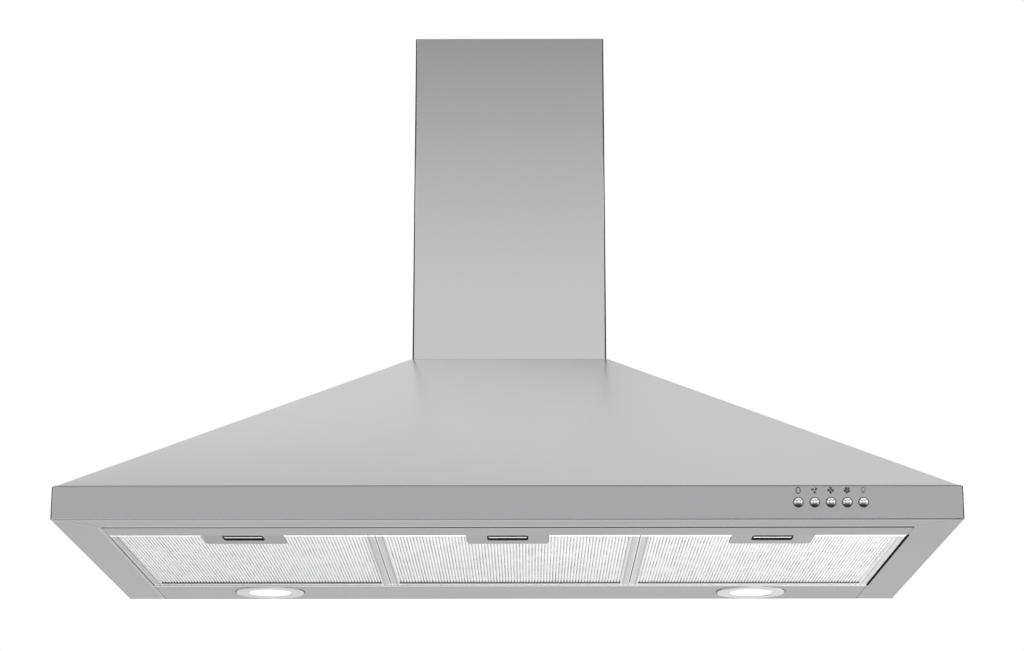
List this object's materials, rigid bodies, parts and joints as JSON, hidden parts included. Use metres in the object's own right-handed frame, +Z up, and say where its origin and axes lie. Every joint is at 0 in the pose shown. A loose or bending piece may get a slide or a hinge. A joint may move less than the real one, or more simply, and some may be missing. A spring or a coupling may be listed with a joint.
{
  "type": "chimney range hood",
  "caption": "Wall-mounted pyramid range hood with a telescopic chimney, three drop-down grease filters, two lamps, push buttons and a ducted blower.",
  "frame": {"origin": "on the wall plane, in the middle of the hood's lower rear edge", "axes": "+X along the wall to the right as seen from the front, +Y into the wall, +Z up"},
  "size_m": [0.898, 0.5036, 0.6206],
  "materials": {
    "brushed_stainless": "brushed",
    "galvanised_sheet": "galvanised, matt",
    "filter_aluminium": "satin",
    "handle_grey": "satin grey",
    "polished_chrome": "polished",
    "lamp_glass": "frosted",
    "grey_plastic": "matt",
    "black_plastic": "matt",
    "black_rubber": "matt",
    "motor_steel": "zinc plated",
    "spring_steel": "bright",
    "lead_sheath": "matt"
  },
  "bodies": {
    "hood_body": {"canopy_shell": "brushed_stainless", "fascia_frame": "brushed_stainless", "back_panel": "galvanised_sheet", "front_rail": "brushed_stainless", "lamp_panel": "brushed_stainless", "top_plate": "galvanised_sheet", "chimney_cover": "brushed_stainless", "lamp_ring_left": "polished_chrome", "lamp_body_left": "grey_plastic", "lamp_lens_left": "lamp_glass", "lamp_ring_right": "polished_chrome", "lamp_body_right": "grey_plastic", "lamp_lens_right": "lamp_glass", "button_bushes": "black_plastic", "switch_housing": "black_plastic", "blower_housing_left": "galvanised_sheet", "blower_housing_right": "galvanised_sheet", "inlet_guard": "spring_steel", "motor_bracket": "galvanised_sheet", "motor_casing": "motor_steel", "outlet_collar": "grey_plastic", "damper_pin": "spring_steel", "terminal_box": "grey_plastic", "terminal_box_lid": "grey_plastic", "capacitor": "black_plastic", "wiring": "lead_sheath", "cable_grommet": "black_rubber", "canopy_screws": "spring_steel", "collar_screws": "spring_steel", "motor_screws": "spring_steel", "guard_screws": "spring_steel"},
    "upper_chimney": {"upper_chimney": "brushed_stainless", "wall_bracket": "galvanised_sheet"},
    "impeller": {"impeller": "grey_plastic", "motor_shaft": "spring_steel", "impeller_nut": "spring_steel"},
    "damper_front": {"damper_flap_front": "grey_plastic"},
    "damper_rear": {"damper_flap_rear": "grey_plastic"},
    "button_off": {"button_off": "polished_chrome"},
    "button_speed_1": {"button_speed_1": "polished_chrome"},
    "button_speed_2": {"button_speed_2": "polished_chrome"},
    "button_speed_3": {"button_speed_3": "polished_chrome"},
    "button_light": {"button_light": "polished_chrome"},
    "filter_1": {"filter_frame_1": "filter_aluminium", "filter_mesh_1": "filter_aluminium", "filter_handle_1": "handle_grey", "latch_spring_1": "spring_steel"},
    "latch_1": {"latch_1": "filter_aluminium"},
    "filter_2": {"filter_frame_2": "filter_aluminium", "filter_mesh_2": "filter_aluminium", "filter_handle_2": "handle_grey", "latch_spring_2": "spring_steel"},
    "latch_2": {"latch_2": "filter_aluminium"},
    "filter_3": {"filter_frame_3": "filter_aluminium", "filter_mesh_3": "filter_aluminium", "filter_handle_3": "handle_grey", "latch_spring_3": "spring_steel"},
    "latch_3": {"latch_3": "filter_aluminium"}
  },
  "joints": [
    {"name": "upper_chimney_slide", "type": "slide", "parent": "hood_body", "child": "upper_chimney", "axis": [0, 0, 1], "range_m": [0, 0.33]},
    {"name": "impeller_spin", "type": "hinge", "parent": "hood_body", "child": "impeller", "pos_m": [0, -0.109, 0.122], "axis": [1, 0, 0], "continuous": true},
    {"name": "damper_front_hinge", "type": "hinge", "parent": "hood_body", "child": "damper_front", "pos_m": [0, -0.109, 0.2538], "axis": [-1, 0, 0], "range_deg": [0, 75]},
    {"name": "damper_rear_hinge", "type": "hinge", "parent": "hood_body", "child": "damper_rear", "pos_m": [0, -0.109, 0.2538], "axis": [1, 0, 0], "range_deg": [0, 75]},
    {"name": "button_off_press", "type": "slide", "parent": "hood_body", "child": "button_off", "axis": [0, 1, 0], "range_m": [0, 0.003], "stiffness_N_per_m": 400},
    {"name": "button_speed_1_press", "type": "slide", "parent": "hood_body", "child": "button_speed_1", "axis": [0, 1, 0], "range_m": [0, 0.003], "stiffness_N_per_m": 400},
    {"name": "button_speed_2_press", "type": "slide", "parent": "hood_body", "child": "button_speed_2", "axis": [0, 1, 0], "range_m": [0, 0.003], "stiffness_N_per_m": 400},
    {"name": "button_speed_3_press", "type": "slide", "parent": "hood_body", "child": "button_speed_3", "axis": [0, 1, 0], "range_m": [0, 0.003], "stiffness_N_per_m": 400},
    {"name": "button_light_press", "type": "slide", "parent": "hood_body", "child": "button_light", "axis": [0, 1, 0], "range_m": [0, 0.003], "stiffness_N_per_m": 400},
    {"name": "filter_1_drop", "type": "hinge", "parent": "hood_body", "child": "filter_1", "pos_m": [0, -0.0975, 0.0005], "axis": [1, 0, 0], "range_deg": [0, 60]},
    {"name": "latch_1_slide", "type": "slide", "parent": "filter_1", "child": "latch_1", "axis": [0, 1, 0], "range_m": [0, 0.006], "stiffness_N_per_m": 300, "deforming": ["latch_spring_1"]},
    {"name": "filter_2_drop", "type": "hinge", "parent": "hood_body", "child": "filter_2", "pos_m": [0, -0.0975, 0.0005], "axis": [1, 0, 0], "range_deg": [0, 60]},
    {"name": "latch_2_slide", "type": "slide", "parent": "filter_2", "child": "latch_2", "axis": [0, 1, 0], "range_m": [0, 0.006], "stiffness_N_per_m": 300, "deforming": ["latch_spring_2"]},
    {"name": "filter_3_drop", "type": "hinge", "parent": "hood_body", "child": "filter_3", "pos_m": [0, -0.0975, 0.0005], "axis": [1, 0, 0], "range_deg": [0, 60]},
    {"name": "latch_3_slide", "type": "slide", "parent": "filter_3", "child": "latch_3", "axis": [0, 1, 0], "range_m": [0, 0.006], "stiffness_N_per_m": 300, "deforming": ["latch_spring_3"]}
  ]
}
